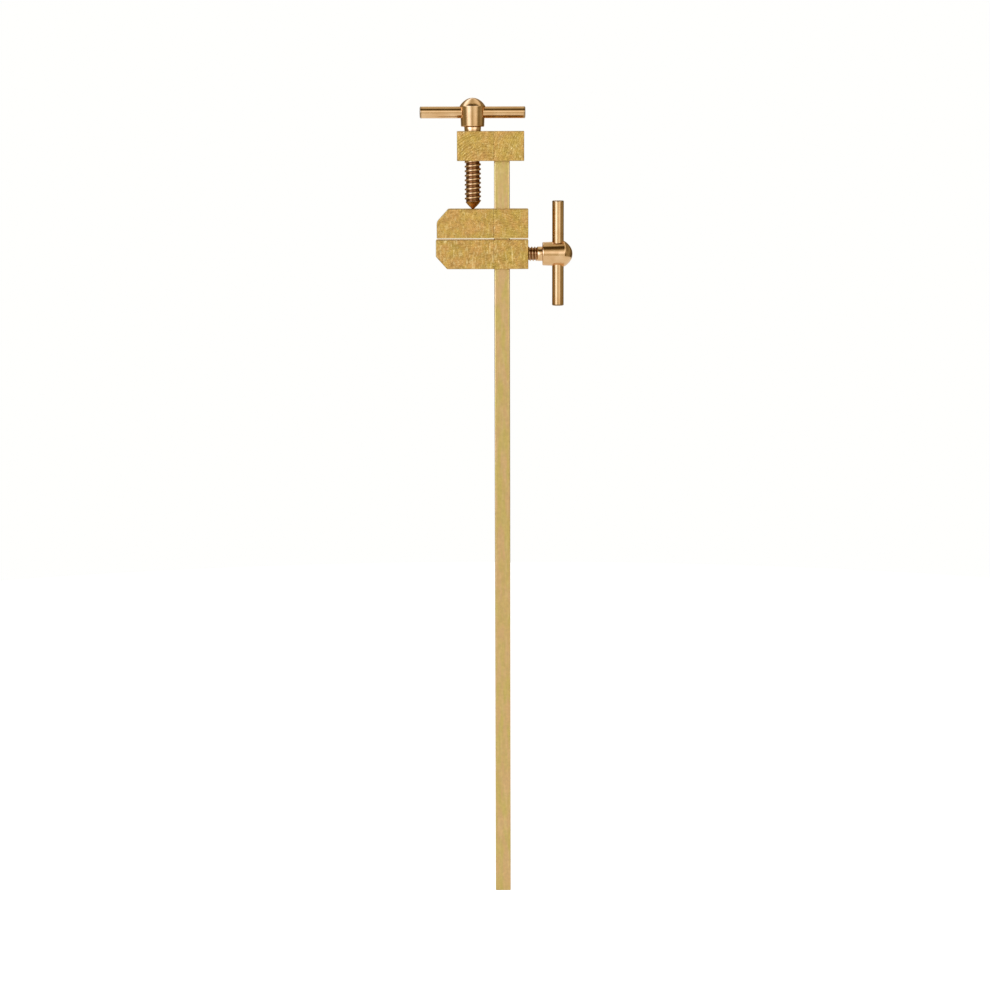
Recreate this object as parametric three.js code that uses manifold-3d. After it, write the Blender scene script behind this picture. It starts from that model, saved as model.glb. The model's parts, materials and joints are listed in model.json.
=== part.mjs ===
// A small all-brass bar clamp: a square bar with a fixed head block, a lower jaw
// that a side screw locks on the bar, and an upper jaw that the head screw presses down.
// Millimetres. +Z runs up the bar, +X is the side of the lock screw, -Y is the front.
// The origin is the centre of the bar's lower end.

import * as THREE from "three";
import { mergeVertices } from "three/addons/utils/BufferGeometryUtils.js";
import Module from "manifold-3d";

// Bar and blocks
const BAR_SIDE = 8;
const BAR_LENGTH = 400;
const BLOCK_DEPTH = 15;
const HEAD_HEIGHT = 15;
const HEAD_LEFT = -22.7;
const HEAD_RIGHT = 11.3;
const JAW_HEIGHT = 14.8;
const JAW_RIGHT = 13.4;
const UPPER_JAW_LEFT = -33.2;
const LOWER_JAW_LEFT = -33.7;
const LOWER_JAW_BOTTOM = 330.5;
const JAW_GAP = 0.75;
const NOSE_CUT_RUN = 5.7; // how far the cut corner reaches along the jaw
const NOSE_CUT_RISE = 6.3; // and how far up its end face
const SLIDE_CLEARANCE = 0.15; // between the bar and a sliding jaw, on every side

// Clamp screw, upright through the head block
const CLAMP_AXIS_X = -14.8;
const CLAMP_THREAD_RADIUS = 4.5;
const CLAMP_ROOT_RADIUS = 3.3;
const CLAMP_PITCH = 2.3;
const CLAMP_CREST_HEIGHT = 384.4; // a crest crosses the spindle's left side here
const CLAMP_POINT_LENGTH = 4;
const CLAMP_POINT_RADIUS = 0.25;
const CLAMP_CAP_BASE = 402.2;
const CLAMP_CAP_LENGTH = 14.6;
const CLAMP_HANDLE_RISE = 7.2; // cap base to the tommy bar's axis
const DIMPLE_RADIUS = 0.9;
const DIMPLE_DEPTH = 0.5;
const POINT_SEAT = 0.4; // how deep the point sits in the dimple

// Lock screw, level through the lower jaw's heel
const LOCK_THREAD_RADIUS = 3.7;
const LOCK_ROOT_RADIUS = 3.05;
const LOCK_PITCH = 1.55;
const LOCK_NECK_START = 18.3;
const LOCK_CAP_BASE = 20.65;
const LOCK_CAP_LENGTH = 15.55;
const LOCK_HANDLE_RISE = 8;
const LOCK_HANDLE_SHIFT = 0.3; // the tommy bar stands a little high in its cap
const SHOE_THICKNESS = 2;
const SHOE_RADIUS = 3.6;
const SHOE_GAP = 0.05; // shoe to bar, and spindle end to shoe

// Caps and tommy bars
const CAP_BASE_RADIUS = 6.2;
const CAP_WAIST_RADIUS = 6.35;
const CAP_RIM_RADIUS = 6.6;
const DOME_HEIGHT = 3.9;
const TOMMY_LENGTH = 53.6;
const TOMMY_RADIUS = 3;
const TOMMY_CHAMFER = 0.5;
const SPIGOT_LENGTH = 3;
const FIXED_GAP = 0.2; // between fixed pieces of one screw
const BORE_CLEARANCE = 0.25; // around a thread in its bore

const ROUND_STEPS = 24;
const THREAD_STEPS = 16;
const THREAD_ROWS = 6; // rows in each pitch
const DOME_STEPS = 6;
const THREAD_FADE = 0.6; // share of a pitch in which a thread dies out

const CUT_MARGIN = 1; // how far a cutter runs past the face that it opens

const HEAD_BOTTOM = BAR_LENGTH - HEAD_HEIGHT;
const SLOT_HALF = BAR_SIDE / 2 + SLIDE_CLEARANCE;
const UPPER_JAW_BOTTOM = LOWER_JAW_BOTTOM + JAW_HEIGHT + JAW_GAP;
const UPPER_JAW_TOP = UPPER_JAW_BOTTOM + JAW_HEIGHT;
const LOCK_AXIS_Z = LOWER_JAW_BOTTOM + JAW_HEIGHT / 2;

const wasm = await Module();
wasm.setup();

// Closed solid of a three.js geometry, its vertices merged.
function solidOf(geometry) {
  const bare = geometry.index ? geometry.clone() : geometry;
  bare.deleteAttribute("normal");
  bare.deleteAttribute("uv");
  const merged = mergeVertices(bare, 1e-5);
  const vertProperties = new Float32Array(merged.attributes.position.array);
  const triVerts = new Uint32Array(merged.index.array);
  return new wasm.Manifold(new wasm.Mesh({ numProp: 3, vertProperties, triVerts }));
}

// Three.js geometry of a solid.
function geometryOf(solid) {
  const mesh = solid.getMesh();
  const geometry = new THREE.BufferGeometry();
  geometry.setAttribute("position", new THREE.BufferAttribute(mesh.vertProperties, 3));
  geometry.setIndex(new THREE.BufferAttribute(mesh.triVerts, 1));
  geometry.computeVertexNormals();
  return geometry;
}

function boxBetween(low, high) {
  const geometry = new THREE.BoxGeometry(high[0] - low[0], high[1] - low[1], high[2] - low[2]);
  const middle = low.map((value, axis) => (value + high[axis]) / 2);
  return geometry.translate(...middle);
}

// Body turned about the Z axis from [radius, height] points that run upwards.
function turned(points, steps) {
  const profile = points.map(([radius, height]) => new THREE.Vector2(radius, height));
  return new THREE.LatheGeometry(profile, steps).rotateX(Math.PI / 2);
}

// Round cutter of one radius along the Z axis.
function roundCutter(radius, bottom, top) {
  return turned([[0, bottom], [radius, bottom], [radius, top], [0, top]], ROUND_STEPS);
}

// Plate with an outline of [x, z] points, centred on the front-to-back middle plane.
function plateOf(outline) {
  const shape = new THREE.Shape(outline.map(([x, z]) => new THREE.Vector2(x, z)));
  const geometry = new THREE.ExtrudeGeometry(shape, { depth: BLOCK_DEPTH, bevelEnabled: false });
  return geometry.rotateX(Math.PI / 2).translate(0, BLOCK_DEPTH / 2, 0);
}

const brass = {
  drawn: { color: 0xc8ac6c, roughness: 0.42, metalness: 1 },
  milled: { color: 0xc4a25c, roughness: 0.38, metalness: 1 },
  polished: { color: 0xc98d4e, roughness: 0.16, metalness: 1 },
};

function named(name, geometry, finish) {
  const mesh = new THREE.Mesh(geometry, new THREE.MeshStandardMaterial(brass[finish]));
  mesh.name = name;
  return mesh;
}

// The square bar, as one drawn length.
function bar() {
  const half = BAR_SIDE / 2;
  return named("bar", boxBetween([-half, -half, 0], [half, half, BAR_LENGTH]), "drawn");
}

// Screw half of the head block: a short piece of block stock with the clamp screw's bore.
function headScrewHalf() {
  const half = BLOCK_DEPTH / 2;
  const block = solidOf(boxBetween([HEAD_LEFT, -half, HEAD_BOTTOM], [-BAR_SIDE / 2, half, BAR_LENGTH]));
  const boreRadius = CLAMP_THREAD_RADIUS + BORE_CLEARANCE;
  const bore = roundCutter(boreRadius, HEAD_BOTTOM - CUT_MARGIN, BAR_LENGTH + CUT_MARGIN);
  bore.translate(CLAMP_AXIS_X, 0, 0);
  return named("head_block_screw_half", geometryOf(block.subtract(solidOf(bore))), "milled");
}

// Upright block with a square slot for the bar in its left face.
function slottedBlock(left, right, bottom, top, slotHalf) {
  const half = BLOCK_DEPTH / 2;
  const block = solidOf(boxBetween([left, -half, bottom], [right, half, top]));
  const slot = boxBetween(
    [left - CUT_MARGIN, -slotHalf, bottom - CUT_MARGIN],
    [slotHalf, slotHalf, top + CUT_MARGIN],
  );
  return block.subtract(solidOf(slot));
}

// Bar half of the head block, brazed on the bar and on the screw half.
function headBarHalf() {
  const half = BAR_SIDE / 2;
  const block = slottedBlock(-half, HEAD_RIGHT, HEAD_BOTTOM, BAR_LENGTH, half);
  return named("head_block_bar_half", geometryOf(block), "milled");
}

// Nose of the upper jaw: cut top corner, and a dimple that the clamp screw's point sits in.
function upperJawNose() {
  const nose = solidOf(plateOf([
    [UPPER_JAW_LEFT, UPPER_JAW_BOTTOM],
    [-SLOT_HALF, UPPER_JAW_BOTTOM],
    [-SLOT_HALF, UPPER_JAW_TOP],
    [UPPER_JAW_LEFT + NOSE_CUT_RUN, UPPER_JAW_TOP],
    [UPPER_JAW_LEFT, UPPER_JAW_TOP - NOSE_CUT_RISE],
  ]));
  const widening = DIMPLE_RADIUS / DIMPLE_DEPTH;
  const dimple = turned([
    [0, UPPER_JAW_TOP - DIMPLE_DEPTH],
    [DIMPLE_RADIUS + CUT_MARGIN * widening, UPPER_JAW_TOP + CUT_MARGIN],
    [0, UPPER_JAW_TOP + CUT_MARGIN],
  ], ROUND_STEPS);
  dimple.translate(CLAMP_AXIS_X, 0, 0);
  return named("upper_jaw_nose", geometryOf(nose.subtract(solidOf(dimple))), "milled");
}

// Heel of the upper jaw, slotted to slide on the bar.
function upperJawHeel() {
  const heel = slottedBlock(-SLOT_HALF, JAW_RIGHT, UPPER_JAW_BOTTOM, UPPER_JAW_TOP, SLOT_HALF);
  return named("upper_jaw_heel", geometryOf(heel), "milled");
}

// Nose of the lower jaw, with a cut bottom corner.
function lowerJawNose() {
  const nose = plateOf([
    [LOWER_JAW_LEFT + NOSE_CUT_RUN, LOWER_JAW_BOTTOM],
    [-SLOT_HALF, LOWER_JAW_BOTTOM],
    [-SLOT_HALF, LOWER_JAW_BOTTOM + JAW_HEIGHT],
    [LOWER_JAW_LEFT, LOWER_JAW_BOTTOM + JAW_HEIGHT],
    [LOWER_JAW_LEFT, LOWER_JAW_BOTTOM + NOSE_CUT_RISE],
  ]);
  return named("lower_jaw_nose", nose, "milled");
}

// Heel of the lower jaw: the bar's slot, and the lock screw's bore through its right wall.
function lowerJawHeel() {
  const top = LOWER_JAW_BOTTOM + JAW_HEIGHT;
  const heel = slottedBlock(-SLOT_HALF, JAW_RIGHT, LOWER_JAW_BOTTOM, top, SLOT_HALF);
  const bore = roundCutter(LOCK_THREAD_RADIUS + BORE_CLEARANCE, 0, JAW_RIGHT + CUT_MARGIN);
  bore.rotateY(Math.PI / 2).translate(0, 0, LOCK_AXIS_Z);
  return named("lower_jaw_heel", geometryOf(heel.subtract(solidOf(bore))), "milled");
}

// Height of a rounded thread, 0 at the root to 1 at the crest, at a share of one turn.
function threadShape(turn) {
  return 0.5 + 0.5 * Math.cos(2 * Math.PI * turn);
}

// Spindle with a right-handed thread from threadStart to threadEnd. Its plain body is turned
// from the profile, and each thread row's radius is then set by its angle and height.
function spindle(foot, threadStart, threadEnd, head, size) {
  const count = Math.round((threadEnd - threadStart) / size.pitch * THREAD_ROWS);
  const rows = Array.from({ length: count + 1 }, (_, row) =>
    [size.crest, threadStart + (threadEnd - threadStart) * row / count]);
  const geometry = turned([...foot, ...rows, ...head], THREAD_STEPS);
  const place = geometry.attributes.position;
  const fade = size.pitch * THREAD_FADE;
  for (let index = 0; index < place.count; index += 1) {
    const height = place.getZ(index);
    if (height < threadStart || height > threadEnd) continue;
    const angle = Math.atan2(place.getY(index), place.getX(index));
    const turn = (height - size.crestHeight) / size.pitch - (angle - Math.PI) / (2 * Math.PI);
    const blend = Math.min(1, (threadEnd - height) / fade);
    const depth = (size.crest - size.root) * (1 - threadShape(turn)) * blend;
    const radius = Math.hypot(place.getX(index), place.getY(index));
    if (radius < size.root) continue;
    const shrink = (size.crest - depth) / size.crest;
    place.setX(index, place.getX(index) * shrink);
    place.setY(index, place.getY(index) * shrink);
  }
  return geometry;
}

// Clamp spindle: blunt cone point, thread up to the head block's top, neck, spigot in the cap.
function clampSpindle() {
  const point = UPPER_JAW_TOP - POINT_SEAT;
  const threadStart = point + CLAMP_POINT_LENGTH + CLAMP_PITCH / THREAD_ROWS;
  const foot = [[0, point], [CLAMP_POINT_RADIUS, point], [CLAMP_ROOT_RADIUS, point + CLAMP_POINT_LENGTH]];
  const spigotTop = CLAMP_CAP_BASE + SPIGOT_LENGTH;
  const head = [[CLAMP_THREAD_RADIUS, spigotTop], [0, spigotTop]];
  const geometry = spindle(foot, threadStart, BAR_LENGTH, head, {
    crest: CLAMP_THREAD_RADIUS,
    root: CLAMP_ROOT_RADIUS,
    pitch: CLAMP_PITCH,
    crestHeight: CLAMP_CREST_HEIGHT,
  });
  return named("clamp_spindle", geometry.translate(CLAMP_AXIS_X, 0, 0), "polished");
}

// Lock spindle: flat end behind the shoe, fine thread, neck, spigot in the cap.
function lockSpindle() {
  const end = BAR_SIDE / 2 + SHOE_THICKNESS + 2 * SHOE_GAP;
  const threadStart = end + LOCK_PITCH / THREAD_ROWS;
  const foot = [[0, end], [LOCK_ROOT_RADIUS, end]];
  const spigotTop = LOCK_CAP_BASE + SPIGOT_LENGTH;
  const head = [[LOCK_THREAD_RADIUS, spigotTop], [0, spigotTop]];
  const geometry = spindle(foot, threadStart, LOCK_NECK_START, head, {
    crest: LOCK_THREAD_RADIUS,
    root: LOCK_ROOT_RADIUS,
    pitch: LOCK_PITCH,
    crestHeight: LOCK_NECK_START,
  });
  geometry.rotateY(Math.PI / 2).translate(0, 0, LOCK_AXIS_Z);
  return named("lock_spindle", geometry, "polished");
}

// Domed cap, base at zero: widening body, rim, low pointed dome, spigot socket, cross hole.
function domedCap(length, handleRise, spindleRadius) {
  const rimHeight = length - DOME_HEIGHT;
  const dome = Array.from({ length: DOME_STEPS }, (_, step) => {
    const share = (step + 1) / DOME_STEPS;
    return [CAP_RIM_RADIUS * Math.cos(share * Math.PI / 2), rimHeight + DOME_HEIGHT * share ** 1.2];
  });
  dome[DOME_STEPS - 1][0] = 0;
  const body = solidOf(turned([
    [0, 0],
    [CAP_BASE_RADIUS, 0],
    [CAP_WAIST_RADIUS, handleRise],
    [CAP_RIM_RADIUS, rimHeight],
    ...dome,
  ], ROUND_STEPS));
  const socket = roundCutter(spindleRadius + FIXED_GAP, -CUT_MARGIN, SPIGOT_LENGTH + FIXED_GAP);
  const reach = CAP_RIM_RADIUS + CUT_MARGIN;
  const crossHole = roundCutter(TOMMY_RADIUS + FIXED_GAP, -reach, reach);
  crossHole.rotateY(Math.PI / 2).translate(0, 0, handleRise);
  return geometryOf(body.subtract(solidOf(socket)).subtract(solidOf(crossHole)));
}

// Tommy bar along the Z axis, centred, with chamfered ends.
function tommyBar() {
  const half = TOMMY_LENGTH / 2;
  const edge = TOMMY_RADIUS - TOMMY_CHAMFER;
  return turned([
    [0, -half],
    [edge, -half],
    [TOMMY_RADIUS, -half + TOMMY_CHAMFER],
    [TOMMY_RADIUS, half - TOMMY_CHAMFER],
    [edge, half],
    [0, half],
  ], ROUND_STEPS);
}

function clampHandle() {
  const cap = domedCap(CLAMP_CAP_LENGTH, CLAMP_HANDLE_RISE, CLAMP_THREAD_RADIUS);
  cap.translate(CLAMP_AXIS_X, 0, CLAMP_CAP_BASE);
  const tommy = tommyBar().rotateY(Math.PI / 2);
  tommy.translate(CLAMP_AXIS_X, 0, CLAMP_CAP_BASE + CLAMP_HANDLE_RISE);
  return [named("clamp_cap", cap, "polished"), named("clamp_tommy_bar", tommy, "polished")];
}

function lockHandle() {
  const cap = domedCap(LOCK_CAP_LENGTH, LOCK_HANDLE_RISE, LOCK_THREAD_RADIUS);
  cap.rotateY(Math.PI / 2).translate(LOCK_CAP_BASE, 0, LOCK_AXIS_Z);
  const tommy = tommyBar();
  tommy.translate(LOCK_CAP_BASE + LOCK_HANDLE_RISE, 0, LOCK_AXIS_Z + LOCK_HANDLE_SHIFT);
  return [named("lock_cap", cap, "polished"), named("lock_tommy_bar", tommy, "polished")];
}

// Loose brass slug between the lock spindle's end and the bar.
function lockShoe() {
  const start = BAR_SIDE / 2 + SHOE_GAP;
  const shoe = roundCutter(SHOE_RADIUS, start, start + SHOE_THICKNESS);
  shoe.rotateY(Math.PI / 2).translate(0, 0, LOCK_AXIS_Z);
  return named("lock_shoe", shoe, "drawn");
}

const group = new THREE.Group();
group.add(bar(), headScrewHalf(), headBarHalf());
group.add(upperJawNose(), upperJawHeel());
group.add(lowerJawNose(), lowerJawHeel());
group.add(clampSpindle(), ...clampHandle());
group.add(lockShoe(), lockSpindle(), ...lockHandle());

export default group;
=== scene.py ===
"""Looks of a small all-brass bar clamp: milled blocks on a drawn square bar, and two turned,
polished screws with domed caps and tommy bars. Metres, +Z up the bar, front towards -Y."""

import json
import math

import bpy
import numpy as np
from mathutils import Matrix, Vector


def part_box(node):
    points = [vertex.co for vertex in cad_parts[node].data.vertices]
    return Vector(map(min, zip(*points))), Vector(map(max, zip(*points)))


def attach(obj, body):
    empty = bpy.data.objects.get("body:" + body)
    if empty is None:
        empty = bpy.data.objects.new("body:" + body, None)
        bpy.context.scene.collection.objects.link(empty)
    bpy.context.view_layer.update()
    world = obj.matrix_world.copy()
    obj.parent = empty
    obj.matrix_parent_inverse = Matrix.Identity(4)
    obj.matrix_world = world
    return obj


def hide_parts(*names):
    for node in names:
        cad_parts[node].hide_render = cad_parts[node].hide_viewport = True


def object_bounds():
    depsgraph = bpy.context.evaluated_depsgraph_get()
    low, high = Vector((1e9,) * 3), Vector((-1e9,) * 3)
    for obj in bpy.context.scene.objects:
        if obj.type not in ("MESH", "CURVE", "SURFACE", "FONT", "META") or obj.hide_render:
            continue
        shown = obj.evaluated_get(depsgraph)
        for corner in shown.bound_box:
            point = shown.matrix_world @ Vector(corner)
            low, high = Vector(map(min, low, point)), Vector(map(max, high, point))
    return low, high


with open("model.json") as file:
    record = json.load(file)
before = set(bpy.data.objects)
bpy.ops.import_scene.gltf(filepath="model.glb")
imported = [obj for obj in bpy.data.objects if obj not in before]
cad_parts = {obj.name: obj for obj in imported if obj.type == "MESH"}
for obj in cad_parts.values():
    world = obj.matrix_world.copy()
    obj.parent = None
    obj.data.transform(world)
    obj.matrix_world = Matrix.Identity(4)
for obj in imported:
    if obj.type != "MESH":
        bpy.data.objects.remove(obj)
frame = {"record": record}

cad_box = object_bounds()
X, Y, Z = np.eye(3)

# ---------------------------------------------------------------- sizes of the finish, metres
EDGE = 0.00028  # broken edges of the milled blocks
SEAM_EDGE = 0.00025  # edges that meet in a brazed seam
SLOT_EDGE = 0.00017  # of the slot that the lock screw's bore opens into
CORNER = 0.00046  # rounding of a block's corners, seen from the end
SEAM_INSET = 0.6  # a rounded corner only stands an inset of under 0.7 of its own size
BAR_CORNER = 0.0007
BAR_END_EDGE = 0.00044
EDGE_STEPS = 4
CORNER_STEPS = 4
BORE_STEPS = 48  # a multiple of four
BORE_GAP = 0.00025  # round a thread in its bore
BORE_CHAMFER = 0.0004
DIMPLE_RADIUS = 0.0009
DIMPLE_DEPTH = 0.0006
# How much of the edges' painted shade the dimple gets
DIMPLE_SHADE = 0.4
ROUND_STEPS = 96
ROWS_PER_PITCH = 32
CREST_SHARE = 0.045  # half of a crest's flat, as a share of the pitch
FLANK_SHARE = 0.27  # one flank, as a share of the pitch
CLAMP_THREAD_DEPTH = 0.0011
LOCK_THREAD_DEPTH = 0.00065
CREST_PROUD = 0.00012  # so that a thin crest still reads at its full size
RUN_OUT = 0.5  # of a turn, where the thread fades into the neck
LAST_CREST_DROP = 0.0006  # of the clamp thread's crest below the head block, at the left
LOCK_NECK_LENGTH = 0.0023
CLAMP_POINT = {"point_length": 0.0046, "point_radius": 0.0042, "first_row": 0.00012}
LOCK_END_LENGTH = 0.0006
LOCK_FIRST_ROW = 0.00005
POINT_CURVE = 1.35
POINT_WEAR = 0.75
DOME_HEIGHT = 0.0042
DOME_CURVE = 1.15
DOME_ROWS = 18
DOME_SPACING = 0.8  # under 1, so that the rows crowd towards the top
CAP_WAIST_SHARE = 0.95  # cap radius beside the tommy bar, as a share of the rim's
CAP_BASE_SHARE = 0.905
CAP_EDGE = 0.0003
TOMMY_EDGE = 0.0006
TOMMY_END_ROWS = 7
TARNISH_LENGTH = 1.8 * TOMMY_EDGE  # at each end of a tommy bar
NOSE_CUT_RUN = 0.0057
NOSE_CUT_RISE = 0.0063
UPPER_CUT_CORNER = 0.0012
LOWER_CUT_CORNER = 0.0006
HOLE_GAP = 0.00003
HOLE_CHAMFER = 0.00015
SPINDLE_EDGE = 0.0002
CROSS_COLUMNS = 11  # half width of the patch round a cap's cross hole, in columns
CROSS_ROWS = 14
CROSS_HALF_HEIGHT = 0.0040
PATCH_RINGS = 6
SOCKET_DEPTH = 0.0032
SOCKET_GAP = 0.0001


# ---------------------------------------------------------------- facts from the frame
def corners(node):
    """Lowest and highest corner of a CAD node, as two arrays."""
    low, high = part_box(node)
    return np.array(low), np.array(high)


def pitch_of(joint):
    """Pitch of the screw that a joint turns: one turn over its radians for each metre."""
    couplings = frame["record"]["behaviour"]["couplings"]
    ratio = next(c["ratio"] for c in couplings if c["joint"] == joint)
    return 2 * math.pi / ratio


# ---------------------------------------------------------------- building surfaces
class Shape:
    """Points and faces of one piece, gathered sheet by sheet."""

    def __init__(self):
        self.points = []
        self.wear_and_shade = []
        self.faces = []
        self.smooth = []
        self.count = 0

    def add(self, points, wear_and_shade=0.0):
        """Adds a grid of points and gives back their numbers in the same grid."""
        points = np.asarray(points, float)
        numbers = np.arange(self.count, self.count + points[..., 0].size)
        numbers = numbers.reshape(points.shape[:-1])
        self.points.append(points.reshape(-1, 3))
        self.wear_and_shade.append(np.broadcast_to(wear_and_shade, numbers.shape).reshape(-1))
        self.count += numbers.size
        return numbers

    def bands(self, numbers, smooth=True, keep=True):
        """Quads between neighbouring rows of numbers, each row closed on itself. They face
        outwards where the rows climb and each row runs anticlockwise seen from above."""
        after = np.roll(numbers, -1, axis=1)
        quads = np.stack([numbers[:-1], after[:-1], after[1:], numbers[1:]], axis=-1)
        keep = np.broadcast_to(keep, quads.shape[:2])
        self.faces += quads[keep].tolist()
        self.smooth += np.broadcast_to(smooth, quads.shape[:2])[keep].tolist()

    def flat(self, ring):
        """One flat face on a ring of numbers, anticlockwise seen from outside."""
        self.faces.append([int(number) for number in ring])
        self.smooth.append(False)

    def fan(self, ring, tip):
        """Triangles from a ring, anticlockwise seen from outside, to one tip."""
        triangles = np.stack([ring, np.roll(ring, -1), np.full(len(ring), tip)], axis=-1)
        self.faces += triangles.tolist()
        self.smooth += [True] * len(ring)

    def holed(self, ring, anchors, circle):
        """A flat face with a round hole, as four faces: each runs along the ring from one anchor
        to the next, and back along a quarter of the circle."""
        quarter = len(circle) // 4
        for side in range(4):
            start = anchors[side]
            length = (anchors[(side + 1) % 4] - start) % len(ring)
            edge = np.take(ring, np.arange(start, start + length + 1), mode="wrap")
            arc = np.take(circle, np.arange((side + 1) * quarter, side * quarter - 1, -1), mode="wrap")
            self.flat(np.concatenate([edge, arc]))


def finish_piece(shape, name, body, node, slot, material):
    """Mesh object of a shape, riding on its body in place of its CAD node."""
    mesh = bpy.data.meshes.new(name)
    mesh.from_pydata(np.concatenate(shape.points).tolist(), [], shape.faces)
    mesh.polygons.foreach_set("use_smooth", shape.smooth)
    # Per point: tarnish, polished crests, and the strength of the painted shade on edges, bores and thread
    # grooves
    wear_and_shade = mesh.attributes.new("wear_and_shade", "FLOAT", "POINT")
    wear_and_shade.data.foreach_set("value", np.concatenate(shape.wear_and_shade).astype(np.float32))
    mesh.materials.append(material)
    mesh.update()
    piece = bpy.data.objects.new(name, mesh)
    bpy.context.scene.collection.objects.link(piece)
    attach(piece, body)
    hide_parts(node)


def outline_of(polygon, radii):
    """Closed outline of a polygon, each corner drawn as a short parabola: the point at share s
    is (1-s)^2 a + 2s(1-s) corner + s^2 b, where a and b lie one radius along its two sides."""
    polygon = np.asarray(polygon, float)
    radii = np.broadcast_to(radii, len(polygon))[:, None]
    to_last = np.roll(polygon, 1, axis=0) - polygon
    to_next = np.roll(polygon, -1, axis=0) - polygon
    start = polygon + to_last / np.linalg.norm(to_last, axis=1, keepdims=True) * radii
    stop = polygon + to_next / np.linalg.norm(to_next, axis=1, keepdims=True) * radii
    share = np.linspace(0, 1, CORNER_STEPS + 1)[None, :, None]
    bend = (1 - share) ** 2 * start[:, None] + 2 * share * (1 - share) * polygon[:, None]
    return (bend + share ** 2 * stop[:, None]).reshape(-1, 2)


def inward(outline):
    """Direction that moves each outline point inwards so that both its sides move by one:
    the sum of the two sides' normals over one plus their dot product."""
    sides = np.roll(outline, -1, axis=0) - outline
    sides /= np.linalg.norm(sides, axis=1, keepdims=True)
    normals = np.stack([-sides[:, 1], sides[:, 0]], axis=-1)
    before = np.roll(normals, 1, axis=0)
    return (normals + before) / (1 + (normals * before).sum(axis=1, keepdims=True))


def per_point(values):
    """A value for each polygon corner, repeated for the points that its rounding has."""
    return np.repeat(values, CORNER_STEPS + 1)


WALL_ROW = EDGE_STEPS  # the row of faces between a block's two rounded edges


def upright(points):
    """A shape whose own third axis is Z, left as it is."""
    return points


def facing_front(points):
    """A shape drawn in X and Z as seen from the front, its own third axis towards -Y."""
    return np.stack([points[..., 0], -points[..., 2], points[..., 1]], axis=-1)


def level(points):
    """A shape made about the Z axis, turned so that its axis runs along +X."""
    return np.stack([points[..., 2], points[..., 1], -points[..., 0]], axis=-1)


def add_block(shape, outline, low, high, edges, turn, holed_sides=()):
    """Walls of a block from low to high on its own third axis, with rounded ends. At angle a of
    the rounding a row is moved in by edge x (1 - sin a) and lies edge x (1 - cos a) from the end.
    Rounded rows are smooth, long walls flat, and the sides in holed_sides are left open."""
    angle = np.linspace(0, math.pi / 2, EDGE_STEPS + 1)[:, None]
    edges = np.broadcast_to(edges, len(outline))[None, :]
    inset = edges * (1 - np.sin(angle))
    rise = edges * (1 - np.cos(angle))
    inset = np.concatenate([inset, inset[::-1]])[..., None]
    height = np.concatenate([low + rise, high - rise[::-1]])[..., None]
    rows = np.concatenate([outline + inward(outline) * inset, height], axis=-1)
    # The rounding also sets how strong the edges' painted shade is, strongest halfway round
    rounding = np.sin(2 * np.concatenate([angle, angle[::-1]]))
    numbers = shape.add(turn(rows), rounding)
    straight = np.arange(len(outline)) % (CORNER_STEPS + 1) == CORNER_STEPS
    smooth = np.ones((len(numbers) - 1, len(outline)), bool)
    smooth[WALL_ROW, straight] = False
    keep = np.ones_like(smooth)
    keep[WALL_ROW, list(holed_sides)] = False
    shape.bands(numbers, smooth, keep)
    return numbers


def close_block(shape, numbers):
    """Flat faces on both ends of a block."""
    shape.flat(numbers[-1])
    shape.flat(numbers[0][::-1])


def side_after(corner):
    """Number of the straight side that follows a polygon's corner."""
    return corner * (CORNER_STEPS + 1) + CORNER_STEPS


def wall_of(numbers, side):
    """The four corners of one long wall, anticlockwise seen from outside."""
    after = (side + 1) % numbers.shape[1]
    return np.array([
        numbers[WALL_ROW, side],
        numbers[WALL_ROW, after],
        numbers[WALL_ROW + 1, after],
        numbers[WALL_ROW + 1, side],
    ])


def circle_at(centre, first, second, radius):
    """Circle in the plane of two unit directions, from the corner against both of them and
    anticlockwise from the first to the second."""
    angle = np.linspace(0, 2 * math.pi, BORE_STEPS, endpoint=False)[:, None] - 0.75 * math.pi
    return np.asarray(centre) + radius * (np.cos(angle) * first + np.sin(angle) * second)


def add_bore(shape, near, far, first, second, radius, far_chamfer=BORE_CHAMFER):
    """Bore with chamfered mouths from its near face to its far one. Its rows run inwards."""
    inwards = (far - near) / np.linalg.norm(far - near) * BORE_CHAMFER
    # The bore's walls get half of the edges' painted shade
    numbers = shape.add(np.stack([
        circle_at(near, first, second, radius + BORE_CHAMFER),
        circle_at(near + inwards, first, second, radius),
        circle_at(far - inwards, first, second, radius),
        circle_at(far, first, second, radius + far_chamfer),
    ]), np.array([[0.0], [0.5], [0.5], [0.0]]))
    shape.bands(numbers)
    return numbers[0], numbers[-1]


def from_behind(circle):
    """The same circle from the same start, the other way round."""
    return np.roll(circle[::-1], 1)


def turned_rows(radius, height, start_angle=0.0):
    """Rows of a surface turned about the Z axis: each row is a circle at its height, and its
    radius may also change with the angle."""
    angle = start_angle + np.linspace(0, 2 * math.pi, ROUND_STEPS, endpoint=False)[None, :]
    radius = np.broadcast_to(radius, (len(height), ROUND_STEPS))
    tall = np.broadcast_to(height[:, None], radius.shape)
    return np.stack([radius * np.cos(angle), radius * np.sin(angle), tall], axis=-1)


def add_tip(shape, ring, height, turn, place, wear_and_shade=0.0):
    """Closes a ring to a point on the axis."""
    tip = shape.add(turn(np.array([[0.0, 0.0, height]])) + place, wear_and_shade)
    shape.fan(ring, tip[0])


# ---------------------------------------------------------------- the blocks
def rectangle(low, high):
    """Outline of a plain block, anticlockwise from its lowest corner."""
    return [(low[0], low[1]), (high[0], low[1]), (high[0], high[1]), (low[0], high[1])]


def slotted(low, high, slot):
    """Outline of a block slotted from its left side for a bar, seen from above."""
    return rectangle(low, high) + [(low[0], slot), (slot, slot), (slot, -slot), (low[0], -slot)]


def middle_of(corner):
    """Point in the middle of a polygon corner's rounding."""
    return corner * (CORNER_STEPS + 1) + CORNER_STEPS // 2


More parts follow.
